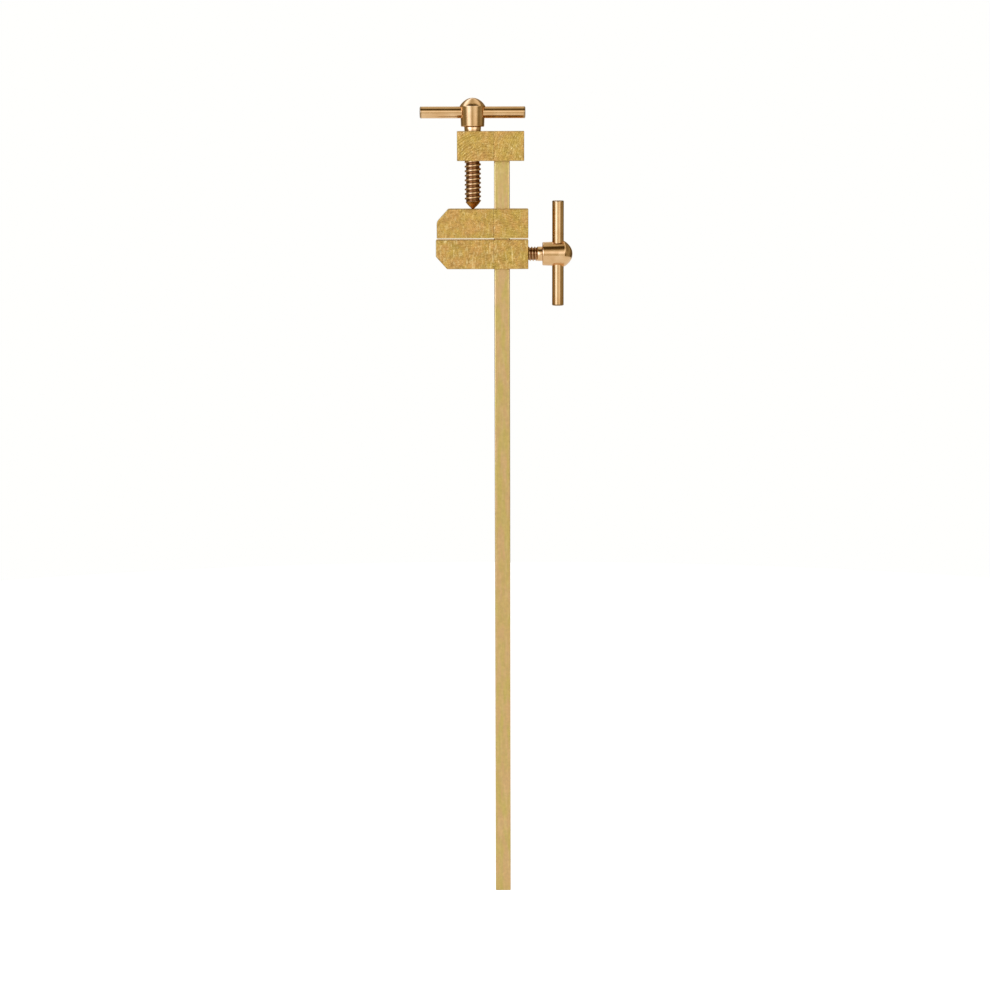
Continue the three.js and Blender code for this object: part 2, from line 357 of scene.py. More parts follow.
def head_screw_half():
    """Screw half of the head block, its bore open at both ends."""
    low, high = corners("head_block_screw_half")
    shape = Shape()
    seam = np.array([False, True, True, False])
    outline = outline_of(rectangle(low, high), np.where(seam, SEAM_EDGE, CORNER))
    edges = per_point(np.where(seam, SEAM_EDGE * SEAM_INSET, EDGE))
    numbers = add_block(shape, outline, low[2], high[2], edges, upright)
    thread_low, thread_high = corners("clamp_spindle")
    axis = (thread_low + thread_high) / 2
    radius = (thread_high - thread_low)[0] / 2 + BORE_GAP
    top = np.array([axis[0], axis[1], high[2]])
    under = np.array([axis[0], axis[1], low[2]])
    mouth, way_out = add_bore(shape, top, under, X, Y, radius)
    shape.holed(numbers[-1], [middle_of(corner) for corner in (0, 1, 2, 3)], mouth)
    last = len(outline) - 1
    behind = [last - middle_of(corner) for corner in (0, 3, 2, 1)]
    shape.holed(numbers[0][::-1], behind, from_behind(way_out))
    return shape


def slotted_block(node, slot, seam_edge, holed_corners=()):
    """Block slotted for the bar, with finer edges where it meets its other half."""
    low, high = corners(node)
    shape = Shape()
    seam = np.array([True, False, False, True, True, True, True, True])
    outline = outline_of(slotted(low, high, slot), np.where(seam, seam_edge, CORNER))
    edges = per_point(np.where(seam, seam_edge * SEAM_INSET, EDGE))
    holed_sides = [side_after(corner) for corner in holed_corners]
    numbers = add_block(shape, outline, low[2], high[2], edges, upright, holed_sides)
    close_block(shape, numbers)
    return shape, numbers, low, high


def head_bar_half():
    """Bar half of the head block, brazed on the bar."""
    bar_right = corners("bar")[1][0]
    return slotted_block("head_block_bar_half", bar_right, SEAM_EDGE)[0]


def slot_half(nose):
    """Half width of a jaw's slot: the nose ends where the slot's left wall is."""
    return -corners(nose)[1][0]


def upper_heel():
    """Heel of the upper jaw, which slides on the bar."""
    return slotted_block("upper_jaw_heel", slot_half("upper_jaw_nose"), SEAM_EDGE)[0]


def lower_heel():
    """Heel of the lower jaw, with the lock screw's bore from its right wall to the slot, whose
    wall is barely wider than the bore and leaves no room for a chamfer."""
    slot = slot_half("lower_jaw_nose")
    right_wall, slot_wall = 1, 5
    shape, numbers, low, high = slotted_block(
        "lower_jaw_heel", slot, SLOT_EDGE, (right_wall, slot_wall))
    thread_low, thread_high = corners("lock_spindle")
    radius = (thread_high - thread_low)[1] / 2 + BORE_GAP
    axis_z = (thread_low + thread_high)[2] / 2
    near, far = np.array([high[0], 0, axis_z]), np.array([slot, 0, axis_z])
    mouth, way_out = add_bore(shape, near, far, Y, Z, radius, far_chamfer=0.0)
    shape.holed(wall_of(numbers, side_after(right_wall)), [0, 1, 2, 3], mouth)
    shape.holed(wall_of(numbers, side_after(slot_wall)), [1, 2, 3, 0], from_behind(way_out))
    return shape


def nose_edges():
    """Edges of a nose: its second and third corner meet the heel in a seam."""
    seam = np.array([False, True, True, False, False])
    return per_point(np.where(seam, SEAM_EDGE * SEAM_INSET, EDGE))


def upper_nose():
    """Nose of the upper jaw: its top corner cut, the cut's lower end eased by hand, and a conical
    dimple under the clamp screw's point."""
    low, high = corners("upper_jaw_nose")
    shape = Shape()
    polygon = [
        (low[0], low[2]),
        (high[0], low[2]),
        (high[0], high[2]),
        (low[0] + NOSE_CUT_RUN, high[2]),
        (low[0], high[2] - NOSE_CUT_RISE),
    ]
    top_side = side_after(2)
    outline = outline_of(polygon, [CORNER, SEAM_EDGE, SEAM_EDGE, CORNER, UPPER_CUT_CORNER])
    numbers = add_block(shape, outline, -high[1], -low[1], nose_edges(), facing_front, [top_side])
    close_block(shape, numbers)
    thread_low, thread_high = corners("clamp_spindle")
    axis = (thread_low + thread_high) / 2
    mouth = np.array([axis[0], axis[1], high[2]])
    rim = shape.add(circle_at(mouth, X, Y, DIMPLE_RADIUS), DIMPLE_SHADE)
    shape.holed(wall_of(numbers, top_side), [2, 3, 0, 1], rim)
    shape.fan(rim, shape.add(mouth[None] - Z * DIMPLE_DEPTH)[0])
    return shape


def lower_nose():
    """Nose of the lower jaw, its bottom corner cut."""
    low, high = corners("lower_jaw_nose")
    shape = Shape()
    polygon = [
        (low[0] + NOSE_CUT_RUN, low[2]),
        (high[0], low[2]),
        (high[0], high[2]),
        (low[0], high[2]),
        (low[0], low[2] + NOSE_CUT_RISE),
    ]
    outline = outline_of(polygon, [CORNER, SEAM_EDGE, SEAM_EDGE, CORNER, LOWER_CUT_CORNER])
    close_block(shape, add_block(shape, outline, -high[1], -low[1], nose_edges(), facing_front))
    return shape


def square_bar():
    """The bar, its long edges rounded and its ends eased."""
    low, high = corners("bar")
    shape = Shape()
    outline = outline_of(rectangle(low, high), BAR_CORNER)
    close_block(shape, add_block(shape, outline, low[2], high[2], BAR_END_EDGE, upright))
    return shape


# ---------------------------------------------------------------- the screws
def thread_height(turn):
    """Height of the thread at a turn counted from a crest, 0 at the root and 1 at the crest:
    flat on top, then down one flank along a smooth step."""
    off_crest = np.abs(turn - np.round(turn))
    climb = np.clip((CREST_SHARE + FLANK_SHARE - off_crest) / FLANK_SHARE, 0, 1)
    return climb * climb * (3 - 2 * climb)


def add_spindle(shape, size, turn, place):
    """Right-handed spindle from its foot to its head: at angle t and height z its radius is the
    crest's less the thread's depth there, with the thread phase z / pitch - t / (2 pi), and the
    neck above the thread is plain. Its point narrows with 1 - (1 - z / length)^curve."""
    count = int((size["neck"] - size["foot"]) / size["pitch"] * ROWS_PER_PITCH)
    height = np.linspace(size["foot"] + size["first_row"], size["neck"], count)
    angle = np.linspace(0, 2 * math.pi, ROUND_STEPS, endpoint=False)[None, :]
    climbed = (height[:, None] - size["crest_height"]) / size["pitch"]
    phase = climbed - (angle - math.pi) / (2 * math.pi)
    fade = np.clip((size["neck"] - height) / (RUN_OUT * size["pitch"]), 0, 1)[:, None]
    lift = 1 - (1 - thread_height(phase)) * fade
    radius = size["radius"] + CREST_PROUD * fade - size["depth"] * (1 - lift)
    share = np.clip((height - size["foot"]) / size["point_length"], 0, 1)[:, None]
    cone = size["point_radius"] * (1 - (1 - share) ** POINT_CURVE)
    # The thread's height is also the mask of the groove's painted shade: the lower, the darker
    wear_and_shade = np.where(cone < radius, POINT_WEAR, lift)
    radius = np.minimum(radius, cone)
    numbers = shape.add(turn(turned_rows(radius, height)) + place, wear_and_shade)
    shape.bands(numbers)
    add_tip(shape, numbers[0][::-1], size["foot"], turn, place, POINT_WEAR)
    head_height = np.array([size["head"] - SPINDLE_EDGE, size["head"]])
    head_radius = size["radius"] - np.array([[0.0], [SPINDLE_EDGE]])
    head = shape.add(turn(turned_rows(head_radius, head_height)) + place, 1.0)
    shape.bands(np.stack([numbers[-1], *head]))
    shape.flat(head[-1])


def clamp_spindle():
    """Pointed spindle of the clamp screw, upright."""
    low, high = corners("clamp_spindle")
    head_low, head_high = corners("head_block_screw_half")
    place = np.array([(low + high)[0] / 2, (low + high)[1] / 2, 0])
    shape = Shape()
    add_spindle(shape, {
        "foot": low[2],
        "neck": head_high[2],
        "head": high[2],
        "radius": (high - low)[0] / 2,
        "depth": CLAMP_THREAD_DEPTH,
        "pitch": pitch_of("clamp_screw_turn"),
        "crest_height": head_low[2] - LAST_CREST_DROP,
        **CLAMP_POINT,
    }, upright, place)
    return shape


def lock_spindle():
    """Spindle of the lock screw, level, with a short blunt end behind the shoe."""
    low, high = corners("lock_spindle")
    thread_end = corners("lock_cap")[0][0] - LOCK_NECK_LENGTH
    radius = (high - low)[1] / 2
    shape = Shape()
    add_spindle(shape, {
        "foot": low[0],
        "neck": thread_end,
        "head": high[0],
        "radius": radius,
        "depth": LOCK_THREAD_DEPTH,
        "pitch": pitch_of("lock_screw_turn"),
        "crest_height": thread_end,
        "point_length": LOCK_END_LENGTH,
        "point_radius": radius,
        "first_row": LOCK_FIRST_ROW,
    }, level, np.array([0, 0, (low + high)[2] / 2]))
    return shape


def domed_cap(node, spindle, tommy, turn, along):
    """Turned cap: a slightly widening body, a rim, and a dome whose radius is
    rim x sqrt(1 - h^curve) at share h of its height. Its base has a blind socket for the spindle,
    and a cross hole for the tommy bar runs along its own X."""
    low, high = corners(node)
    rod_low, rod_high = corners(tommy)
    screw_low, screw_high = corners(spindle)
    across = 1  # both screws' axes cross the front-to-back axis
    place = (low + high) / 2
    place[along] = low[along]
    rim = (high - low)[across] / 2
    length = (high - low)[along]
    hole_height = (rod_low + rod_high)[along] / 2 - low[along]
    hole_radius = (rod_high - rod_low)[across] / 2 + HOLE_GAP
    rim_height = length - DOME_HEIGHT
    share = np.linspace(0, 1, DOME_ROWS)[1:-1] ** DOME_SPACING
    profile = np.array([
        (CAP_BASE_SHARE * rim - CAP_EDGE, 0),
        (CAP_BASE_SHARE * rim, CAP_EDGE),
        (CAP_WAIST_SHARE * rim, hole_height),
        (rim, rim_height - CAP_EDGE / 2),
        (rim - CAP_EDGE / 3, rim_height),
        *zip((rim - CAP_EDGE / 3) * (1 - share ** DOME_CURVE) ** 0.5, rim_height + share * DOME_HEIGHT),
        (0, length),
    ])
    window = hole_height + np.linspace(-CROSS_HALF_HEIGHT, CROSS_HALF_HEIGHT, CROSS_ROWS + 1)
    plain = np.concatenate([np.linspace(2 * CAP_EDGE, window[0], 5)[:-1],
                            np.linspace(window[-1], rim_height - CAP_EDGE, 4)[1:]])
    height = np.unique(np.concatenate([profile[:-1, 1], window, plain]).round(7))
    first, last = np.searchsorted(height, window[[0, -1]].round(7))
    centres = (ROUND_STEPS // 4, 3 * ROUND_STEPS // 4)
    keep = np.ones((len(height) - 1, ROUND_STEPS), bool)
    for centre in centres:
        keep[first:last, centre - CROSS_COLUMNS:centre + CROSS_COLUMNS] = False

    def radius_at(tall):
        return np.interp(tall, profile[:, 1], profile[:, 0])

    shape = Shape()
    rows = turned_rows(radius_at(height)[:, None], height, -math.pi / 2)
    numbers = shape.add(turn(rows) + place)
    shape.bands(numbers, keep=keep)
    add_tip(shape, numbers[-1], length, turn, place)

    socket = (screw_high - screw_low)[across] / 2 + SOCKET_GAP
    socket_radius = socket + np.array([[0.0], [0.0], [SPINDLE_EDGE]])
    socket_height = np.array([SOCKET_DEPTH, SPINDLE_EDGE, 0.0])
    hollow = shape.add(turn(turned_rows(socket_radius, socket_height, -math.pi / 2)) + place)
    shape.flat(hollow[0][::-1])
    shape.bands(hollow)
    shape.bands(np.stack([hollow[-1], numbers[0]]), smooth=False)

    mouths = []
    for centre in centres:
        left, right = centre - CROSS_COLUMNS, centre + CROSS_COLUMNS
        tall = last - first
        row = np.concatenate([np.full(right - left, first), np.arange(first, last),
                              np.full(right - left, last), np.arange(last, first, -1)])
        column = np.concatenate([np.arange(left, right), np.full(tall, right),
                                 np.arange(right, left, -1), np.full(tall, left)])
        side = np.sign(rows[first, centre, 0])
        rings = cross_patch(rows[row, column], side, hole_height, hole_radius, radius_at)
        added = shape.add(turn(rings) + place)
        shape.bands(np.concatenate([numbers[row, column][None], added]))
        mouths.append(added[-1])
    opposite = (2 * CROSS_COLUMNS - np.arange(len(mouths[0]))) % len(mouths[0])
    shape.bands(np.stack([mouths[0], mouths[1][opposite]]))
    return shape


def cross_patch(loop, side, hole_height, hole_radius, radius_at):
    """Rings from a window's edge to the mouth of the cross hole. In the plane across the hole a
    ring's point lies between the edge and the circle, and it is put back on the turned surface at
    x = sqrt(radius(z)^2 - y^2). The last ring is the hole's own circle, just under the surface."""
    across, up = side * loop[:, 1], loop[:, 2] - hole_height
    angle = np.arctan2(up, across)
    circle = (hole_radius + HOLE_CHAMFER) * np.stack([np.cos(angle), np.sin(angle)])
    share = np.linspace(0, 1, PATCH_RINGS + 1)[1:, None, None]
    plane = (1 - share) * np.stack([across, up]) + share * circle
    plane = np.concatenate([plane, circle[None] * hole_radius / (hole_radius + HOLE_CHAMFER)])
    out = np.sqrt(radius_at(hole_height + plane[:, 1]) ** 2 - plane[:, 0] ** 2)
    out[-1] -= HOLE_CHAMFER
    return np.stack([side * out, side * plane[:, 0], hole_height + plane[:, 1]], axis=-1)


def tommy_bar(node, turn, along):
    """Plain rod whose ends are rounded by a quarter of a circle, and a little tarnished."""
    low, high = corners(node)
    place = (low + high) / 2
    half = (high - low)[along] / 2
    radius = (high - low)[1] / 2
    angle = np.linspace(0, math.pi / 2, TOMMY_END_ROWS)
    rounded = np.append(radius - TOMMY_EDGE * (1 - np.sin(angle)), radius)
    end = np.append(half - TOMMY_EDGE * (1 - np.cos(angle)), half - TARNISH_LENGTH)
    shape = Shape()
    rows = turned_rows(np.concatenate([rounded, rounded[::-1]])[:, None],
                       np.concatenate([-end, end[::-1]]))
    tarnish = np.append(np.ones_like(angle), 0.0)[:, None]
    numbers = shape.add(turn(rows) + place, np.concatenate([tarnish, tarnish[::-1]]))
    shape.bands(numbers)
    shape.flat(numbers[-1])
    shape.flat(numbers[0][::-1])
    return shape


def shoe():
    """Slug between the lock spindle and the bar, its edges broken."""
    low, high = corners("lock_shoe")
    place = np.array([low[0], 0, (low + high)[2] / 2])
    thick, radius = (high - low)[0], (high - low)[1] / 2
    shape = Shape()
    inset = np.array([SPINDLE_EDGE, 0, 0, SPINDLE_EDGE])
    height = np.array([0, SPINDLE_EDGE, thick - SPINDLE_EDGE, thick])
    numbers = shape.add(level(turned_rows((radius - inset)[:, None], height)) + place)
    shape.bands(numbers)
    shape.flat(numbers[-1])
    shape.flat(numbers[0][::-1])
    return shape


# ---------------------------------------------------------------- finishes
FAR = 9.0  # height of the clamping face of a block that has none
GRAIN_SIZE = 0.0011
CUTTER_PITCH = 0.0012
CUTTER_WAVER = 0.0022
SATIN, DRAWN_SATIN, POLISHED, CUT = 0.36, 0.33, 0.13, 0.16  # roughness
EDGE_TINT = (0.93, 0.80, 0.50, 1)  # of a block's metal seen at a glancing angle

# Colours of the bare metal, linear
MILLED = (0.599, 0.352, 0.078)
MILLED_GREEN = (0.573, 0.366, 0.074)
MILLED_PINK = (0.630, 0.344, 0.090)
MILLED_BRIGHT = (0.890, 0.680, 0.280)
# Painted shade: the darker grey-khaki of the rounded edges, the bores and the dimple
EDGE_SHADE_KHAKI = (0.340, 0.260, 0.125)
DRAWN = (0.661, 0.449, 0.156)
DRAWN_PINK = (0.695, 0.440, 0.182)
DRAWN_GREEN = (0.625, 0.460, 0.132)
DRAWN_PALE = (0.750, 0.546, 0.234)
TURNED = (0.78, 0.490, 0.235)
TURNED_DEEP = (0.72, 0.430, 0.190)
TURNED_PALE = (0.84, 0.550, 0.280)
TARNISH = (0.300, 0.190, 0.085)
# Painted shade of the groove's hollow, with oil and tarnish
GROOVE_SHADE_AND_OIL = (0.230, 0.092, 0.028)
GROOVE_WARM_SHADE_AND_OIL = (0.430, 0.215, 0.080)


def node(tree, kind, inputs=None, **settings):
    """A shader node with its settings. An input is a plain value, a colour of three numbers or
    another node's socket."""
    made = tree.nodes.new(kind)
    for name, value in settings.items():
        setattr(made, name, value)
    for name, value in (inputs or {}).items():
        socket = made.inputs[name]
        if isinstance(value, bpy.types.NodeSocket):
            tree.links.new(value, socket)
        elif socket.type == "RGBA" and len(value) == 3:
            socket.default_value = (*value, 1)
        else:
            socket.default_value = value
    return made


def math_node(tree, operation, first, second=0.0, clamp=False):
    """Result of one sum on two numbers."""
    return node(tree, "ShaderNodeMath", {0: first, 1: second}, operation=operation,
                use_clamp=clamp).outputs[0]


def ramp(tree, factor, stops):
    """Straight colour ramp through (place, colour or grey) stops."""
    made = node(tree, "ShaderNodeValToRGB", {"Fac": factor})
    elements = made.color_ramp.elements
    while len(elements) < len(stops):
        elements.new(0.5)
    for element, (place, colour) in zip(elements, stops):
        element.position = place
        element.color = (*colour, 1) if isinstance(colour, tuple) else (colour, colour, colour, 1)
    return made.outputs["Color"]


def noise(tree, vector, scale, detail, roughness=0.5):
    """Smooth noise from about 0.3 to 0.7."""
    return node(tree, "ShaderNodeTexNoise", {
        "Vector": vector, "Scale": scale, "Detail": detail, "Roughness": roughness}).outputs["Fac"]


def spread(tree, value, from_min, from_max, to_min, to_max):
    """A value moved straight from one range to another, and held at its ends."""
    return node(tree, "ShaderNodeMapRange", {
        "Value": value, "From Min": from_min, "From Max": from_max,
        "To Min": to_min, "To Max": to_max}).outputs[0]


def bumped(tree, height, strength, distance):
    """Normal of a surface raised by a height, of the given distance at a height of 1."""
    return node(tree, "ShaderNodeBump", {
        "Height": height, "Strength": strength, "Distance": distance}).outputs[0]


def wear_and_shade_mask(tree, strength):
    """The piece's own mask of tarnish, polished crests and painted shade, times a strength."""
    wear_and_shade = node(tree, "ShaderNodeAttribute", attribute_name="wear_and_shade").outputs["Fac"]
    return math_node(tree, "MULTIPLY", wear_and_shade, strength)


def mix(tree, factor, first, second, blend="MIX"):
    """Two colours mixed. The node's inputs 6 and 7 are its colours, and its output 2 the result."""
    return node(tree, "ShaderNodeMix", {"Factor": factor, 6: first, 7: second},
                data_type="RGBA", blend_type=blend).outputs[2]


def new_group(name, inputs, outputs):
    """Empty shader node group with named sockets. Gives its tree, input node and output node."""
    tree = bpy.data.node_groups.new(name, "ShaderNodeTree")
    kinds = {"vector": "NodeSocketVector", "number": "NodeSocketFloat"}
    for socket, kind in inputs:
        tree.interface.new_socket(socket, in_out="INPUT", socket_type=kinds[kind])
    for socket, kind in outputs:
        tree.interface.new_socket(socket, in_out="OUTPUT", socket_type=kinds[kind])
    return tree, tree.nodes.new("NodeGroupInput").outputs, tree.nodes.new("NodeGroupOutput").inputs


def specks_group():
    """Fine grain in two sizes. Gives small light specks where the fine noise peaks, a mottled tone
    from the coarser one, and a height for the bump."""
    tree, given, wanted = new_group(
        "fine grain", [("Vector", "vector"), ("Size", "number")],
        [("Specks", "number"), ("Mottle", "number"), ("Height", "number")])
    scale = math_node(tree, "DIVIDE", 1.0, given["Size"])
    fine = noise(tree, given["Vector"], scale, 3.0, 0.6)
    apart = node(tree, "ShaderNodeVectorMath", {0: given["Vector"], 1: (0.3, 0.2, 0.1)}, operation="ADD")
    coarse = noise(tree, apart.outputs[0], math_node(tree, "MULTIPLY", scale, 0.7), 2.0)
    tree.links.new(ramp(tree, fine, [(0.57, 0.0), (0.70, 1.0)]), wanted["Specks"])
    tree.links.new(ramp(tree, coarse, [(0.32, 0.0), (0.68, 1.0)]), wanted["Mottle"])
    tree.links.new(math_node(tree, "ADD", fine, coarse), wanted["Height"])
    return tree


def arcs_group():
    """Cutter marks: rings about the vector's origin, one every pitch, bent a little by noise."""
    tree, given, wanted = new_group(
        "cutter arcs", [("Vector", "vector"), ("Pitch", "number"), ("Waver", "number")],
        [("Height", "number")])
    bend = math_node(tree, "MULTIPLY", noise(tree, given["Vector"], 500.0, 2.0), given["Waver"])
    length = node(tree, "ShaderNodeVectorMath", {0: given["Vector"]}, operation="LENGTH").outputs["Value"]
    turns = math_node(tree, "DIVIDE", math_node(tree, "ADD", length, bend), given["Pitch"])
    wave = math_node(tree, "SINE", math_node(tree, "MULTIPLY", turns, 2 * math.pi))
    height = math_node(tree, "ADD", math_node(tree, "MULTIPLY", wave, 0.5), 0.5)
    tree.links.new(height, wanted["Height"])
    return tree


def streaks_group():
    """Lengthwise streaks: noise squeezed along the vector's third axis."""
    tree, given, wanted = new_group(
        "drawn streaks", [("Vector", "vector"), ("Width", "number"), ("Length", "number")],
        [("Tone", "number")])
    across = math_node(tree, "DIVIDE", 1.0, given["Width"])
    along = math_node(tree, "DIVIDE", 1.0, given["Length"])
    stretch = node(tree, "ShaderNodeCombineXYZ", {"X": across, "Y": across, "Z": along}).outputs[0]
    placed = node(tree, "ShaderNodeVectorMath", {0: given["Vector"], 1: stretch}, operation="MULTIPLY")
    tree.links.new(noise(tree, placed.outputs[0], 1.0, 3.0, 0.55), wanted["Tone"])
    return tree


def use(tree, group, inputs):
    """Outputs of a group placed in a material."""
    return node(tree, "ShaderNodeGroup", inputs, node_tree=group).outputs


SPECKS, ARCS, STREAKS = specks_group(), arcs_group(), streaks_group()


def new_material(name, roughness):
    """Bare metal. Gives the material, its tree, its Principled node and object coordinates."""
    material = bpy.data.materials.new(name)
    material.use_nodes = True
    tree = material.node_tree
    shader = tree.nodes["Principled BSDF"]
    shader.inputs["Metallic"].default_value = 1.0
    shader.inputs["Roughness"].default_value = roughness
    place = node(tree, "ShaderNodeTexCoord").outputs["Object"]
    return material, tree, shader, place


def moved(tree, place, centre=(0, 0, 0), scale=(1, 1, 1)):
    """Object coordinates with a pattern's centre moved to the given place, and its scale."""
    return node(tree, "ShaderNodeMapping", {
        "Vector": place, "Location": tuple(-a * b for a, b in zip(centre, scale)),
        "Scale": scale}).outputs[0]


def milled_brass(name, cutter, arc_strength, streak_strength, shift, face=FAR):
    """Satin milled brass: broad changes of hue, mottled fine grain with light specks, upright
    streaks, arcs of the cutter about a given centre, and grey-khaki painted shade on the broken
    edges, fainter in the bores and the dimple.
    A clamping face at the given height has its rounded edge painted pale, a painted highlight for the
    bright line of the gap between the jaws, and its roughness lowered."""
    material, tree, shader, place = new_material(name, SATIN)
    shader.inputs["Specular Tint"].default_value = EDGE_TINT
    own = moved(tree, place, (shift, 0, 0))
    broad = noise(tree, own, 170.0, 2.0)
    tone = ramp(tree, broad, [(0.34, MILLED_GREEN), (0.50, MILLED), (0.66, MILLED_PINK)])
    grain = use(tree, SPECKS, {"Vector": own, "Size": GRAIN_SIZE})
    shade = ramp(tree, grain["Mottle"], [(0.0, 0.72), (1.0, 1.0)])
    tone = mix(tree, 1.0, tone, shade, "MULTIPLY")
    streaks = use(tree, STREAKS, {"Vector": own, "Width": 0.0009, "Length": 0.0035})["Tone"]
    light = math_node(tree, "MULTIPLY", ramp(tree, streaks, [(0.54, 0.0), (0.72, 1.0)]), streak_strength)
    tone = mix(tree, light, tone, MILLED_BRIGHT)
    tone = mix(tree, math_node(tree, "MULTIPLY", grain["Specks"], 0.48), tone, MILLED_BRIGHT)
    # Painted shade: grey-khaki along the rounded edges, fainter in the bores and the dimple
    tone = mix(tree, wear_and_shade_mask(tree, 0.95), tone, EDGE_SHADE_KHAKI)
    up = node(tree, "ShaderNodeSeparateXYZ", {0: place}).outputs["Z"]
    off_face = math_node(tree, "ABSOLUTE", math_node(tree, "SUBTRACT", up, face))
    gap_highlight_and_polish = spread(tree, off_face, 0.6 * EDGE, 0.7 * EDGE, 1.0, 0.0)
    # Painted highlight: a pale band along the clamping face's rounded edge, the bright line in the gap
    # between the jaws
    tree.links.new(mix(tree, gap_highlight_and_polish, tone, MILLED_BRIGHT), shader.inputs["Base Color"])
    rough = spread(tree, grain["Mottle"], 0.0, 1.0, 0.30, 0.42)
    kept = spread(tree, gap_highlight_and_polish, 0.0, 1.0, 1.0, 0.55)
    tree.links.new(math_node(tree, "MULTIPLY", rough, kept), shader.inputs["Roughness"])
    arcs = use(tree, ARCS, {
        "Vector": moved(tree, place, cutter), "Pitch": CUTTER_PITCH, "Waver": CUTTER_WAVER})["Height"]
    height = math_node(tree, "MULTIPLY", arcs, arc_strength)
    height = math_node(tree, "ADD", height, grain["Height"])
    height = math_node(tree, "ADD", height, math_node(tree, "MULTIPLY", streaks, streak_strength))
    tree.links.new(bumped(tree, height, 0.9, 0.00015), shader.inputs["Normal"])
    return material


def drawn_brass():
    """Drawn bar: satin, with long patches that lean to pink or to green and fine streaks."""
    material, tree, shader, place = new_material("drawn brass", DRAWN_SATIN)
    patches = use(tree, STREAKS, {"Vector": place, "Width": 0.0035, "Length": 0.018})["Tone"]
    tone = ramp(tree, patches, [(0.40, DRAWN_GREEN), (0.50, DRAWN), (0.59, DRAWN_PINK)])
    fine = use(tree, STREAKS, {"Vector": place, "Width": 0.0009, "Length": 0.009})["Tone"]
    tone = mix(tree, ramp(tree, fine, [(0.48, 0.0), (0.75, 0.6)]), tone, DRAWN_PALE)
    grain = use(tree, SPECKS, {"Vector": place, "Size": GRAIN_SIZE})
    shade = ramp(tree, grain["Mottle"], [(0.0, 0.90), (1.0, 1.0)])
    tone = mix(tree, 1.0, tone, shade, "MULTIPLY")
    tone = mix(tree, math_node(tree, "MULTIPLY", grain["Specks"], 0.12), tone, MILLED_BRIGHT)
    # Painted shade: grey-khaki on the rounded edges at the bar's ends
    tree.links.new(mix(tree, wear_and_shade_mask(tree, 0.5), tone, EDGE_SHADE_KHAKI), shader.inputs["Base Color"])
    height = math_node(tree, "ADD", fine, math_node(tree, "MULTIPLY", grain["Height"], 0.3))
    tree.links.new(bumped(tree, height, 0.25, 0.0001), shader.inputs["Normal"])
    return material


def turned_brass(name, axis_scale):
    """Polished turned brass, warmer than the blocks, with fine tool rings square to its axis and
    a little tarnish at the ends of the tommy bars."""
    material, tree, shader, place = new_material(name, POLISHED)
    rings = noise(tree, moved(tree, place, scale=axis_scale), 1.0, 3.0)
    broad = noise(tree, place, 160.0, 2.0)
    tone = ramp(tree, broad, [(0.32, TURNED_DEEP), (0.52, TURNED), (0.70, TURNED_PALE)])
    tree.links.new(mix(tree, wear_and_shade_mask(tree, 0.85), tone, TARNISH), shader.inputs["Base Color"])
    tree.links.new(spread(tree, rings, 0.3, 0.7, 0.09, 0.2), shader.inputs["Roughness"])
    tree.links.new(bumped(tree, rings, 0.08, 0.00005), shader.inputs["Normal"])
    return material


def threaded_brass():
    """Cut thread: crests polished by use, and down in the groove a dark colour that is partly oil and
    tarnish and partly painted shade of the groove's hollow.
    """
    material, tree, shader, place = new_material("threaded brass", CUT)
    wear_and_shade = wear_and_shade_mask(tree, 1.0)
    uneven = math_node(tree, "SUBTRACT", noise(tree, place, 900.0, 2.0), 0.5)
    depth = math_node(tree, "ADD", wear_and_shade, math_node(tree, "MULTIPLY", uneven, 0.25))
    # Painted shade with oil and tarnish: darker towards the thread's root
    tone = ramp(tree, depth, [(0.05, GROOVE_SHADE_AND_OIL), (0.45, GROOVE_WARM_SHADE_AND_OIL), (0.85, TURNED)])
    tree.links.new(tone, shader.inputs["Base Color"])
    tree.links.new(spread(tree, wear_and_shade, 0.0, 1.0, 0.2, 0.12), shader.inputs["Roughness"])
    return material


# ---------------------------------------------------------------- the pieces
FINE, COARSE = 60.0, 9000.0  # noise scales along and across a turned piece's own rings
head_low, head_high = corners("head_block_screw_half")
# Heights of the jaws' clamping faces, where the painted highlight of the gap runs
upper_face = corners("upper_jaw_nose")[0][2] + 0.5 * EDGE
lower_face = corners("lower_jaw_nose")[1][2] + 0.5 * EDGE

screw_half_finish = milled_brass("milled brass, head screw half",
                                 (head_high[0] - 0.004, 0, head_low[2] - 0.008), 0.45, 0.25, 0.0)
bar_half_finish = milled_brass("milled brass, head bar half", (0.03, 0, head_low[2]), 0.35, 0.2, 0.11)
upper_finish = milled_brass("milled brass, upper jaw", (0.01, 0, head_low[2]), 0.30, 0.3, 0.23, upper_face)
lower_finish = milled_brass("milled brass, lower jaw", (-0.02, 0, head_low[2]), 0.15, 0.6, 0.37, lower_face)
drawn = drawn_brass()
threaded = threaded_brass()
turned_up = turned_brass("turned brass, upright", (FINE, FINE, COARSE))
turned_level = turned_brass("turned brass, level", (COARSE, FINE, FINE))
clamp_cap = domed_cap("clamp_cap", "clamp_spindle", "clamp_tommy_bar", upright, 2)
lock_cap = domed_cap("lock_cap", "lock_spindle", "lock_tommy_bar", level, 0)
clamp_rod = tommy_bar("clamp_tommy_bar", level, 0)
lock_rod = tommy_bar("lock_tommy_bar", upright, 2)

